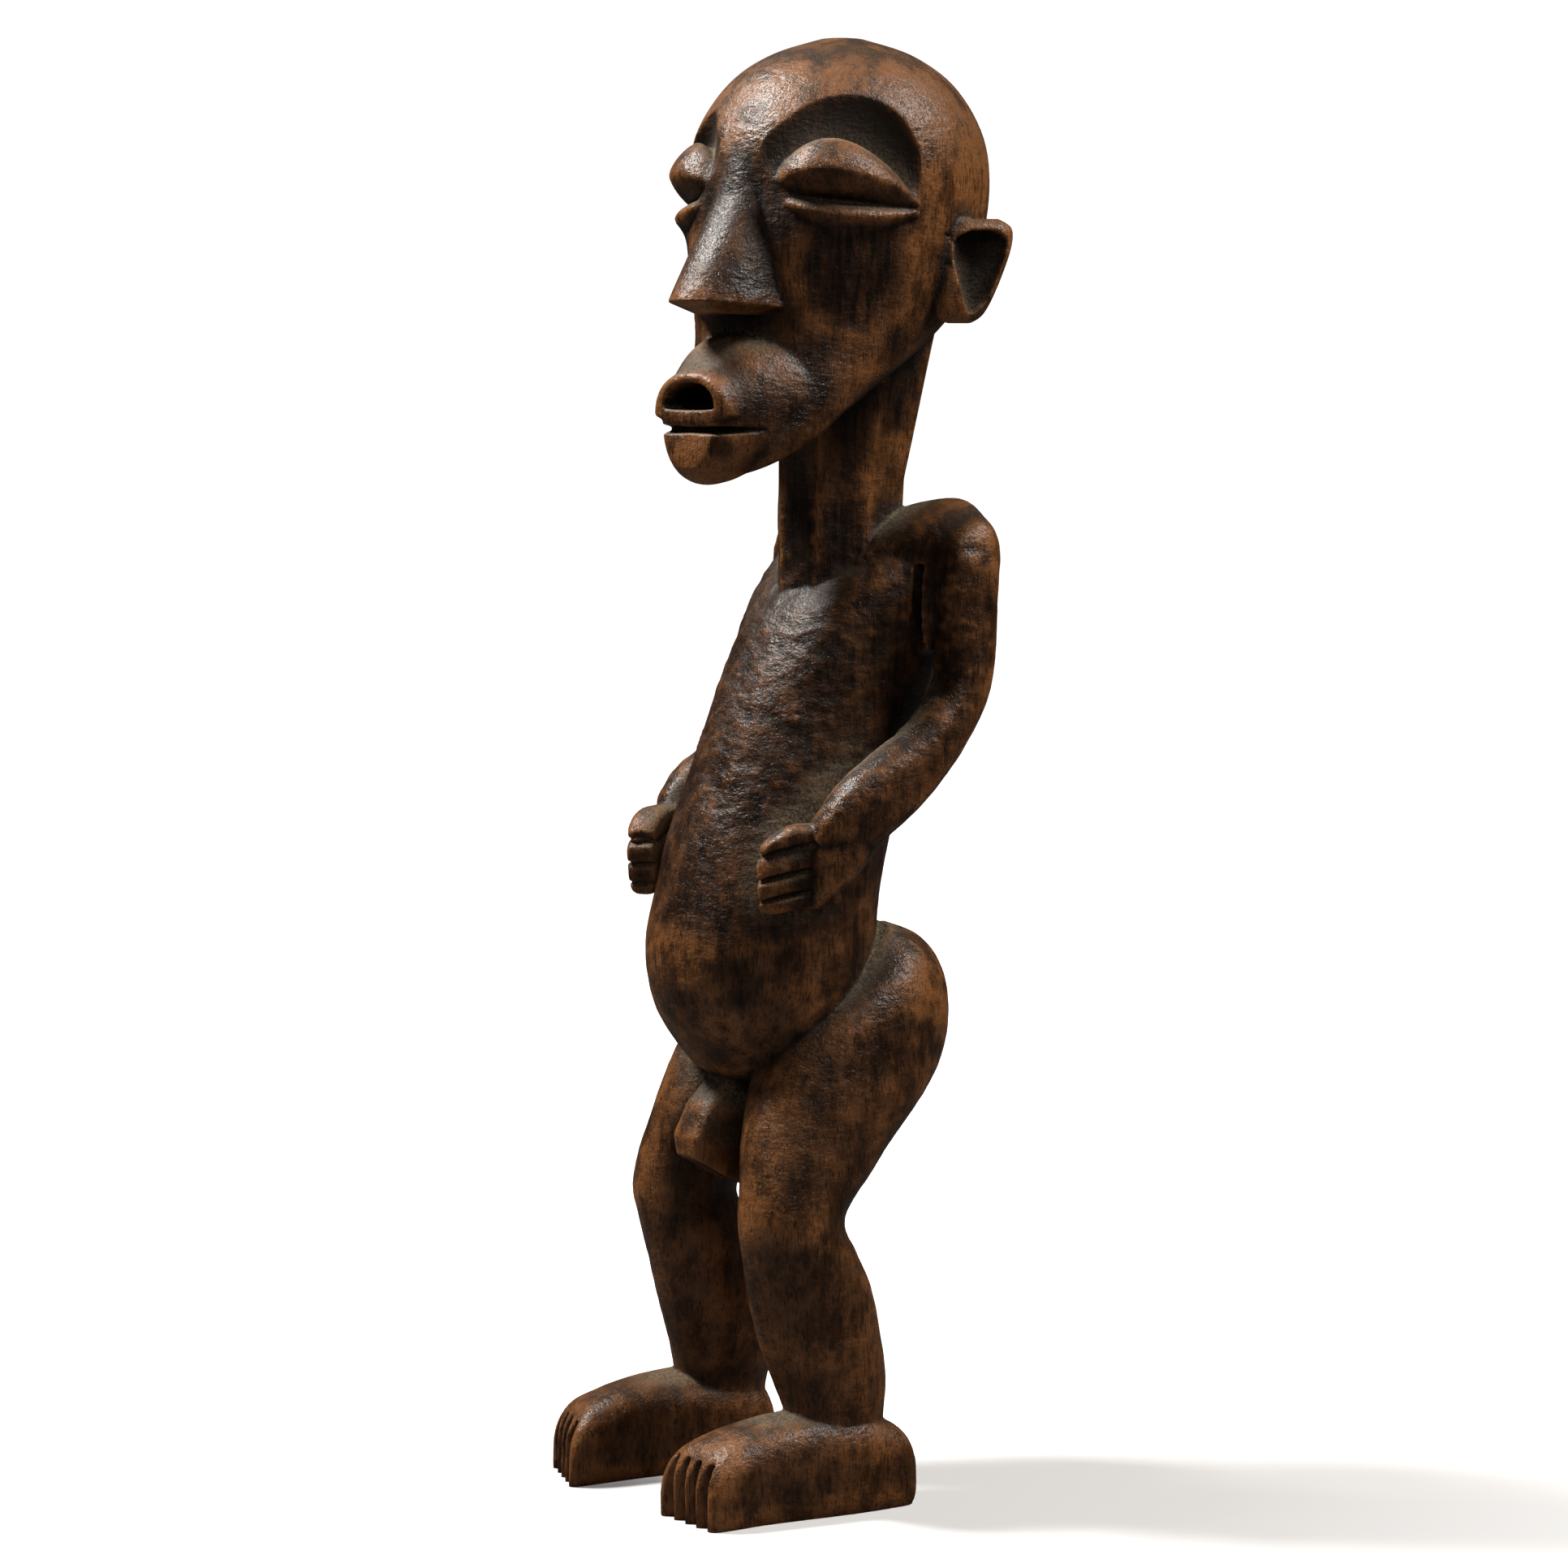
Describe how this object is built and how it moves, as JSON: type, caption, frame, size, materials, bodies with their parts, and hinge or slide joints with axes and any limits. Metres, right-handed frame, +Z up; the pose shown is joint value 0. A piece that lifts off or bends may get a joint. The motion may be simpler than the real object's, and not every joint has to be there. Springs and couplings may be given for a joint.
{
  "type": "wooden fertility figure",
  "caption": "Standing wooden fertility figure with a big shaved head turned aside, long neck, leaning torso, hands on the belly, bent knees and block feet.",
  "frame": {"origin": "middle of the figure's extent in x and y, on the plane of the soles", "axes": "+Z up along the figure's height; the torso and feet face -Y; the figure's own left side is +X"},
  "size_m": [0.125, 0.144, 0.4998],
  "materials": {
    "wood": "dark hardwood, hand carved, handled to a satin polish, dusty in the hollows"
  },
  "bodies": {
    "root": {"figure": "wood"}
  },
  "joints": []
}
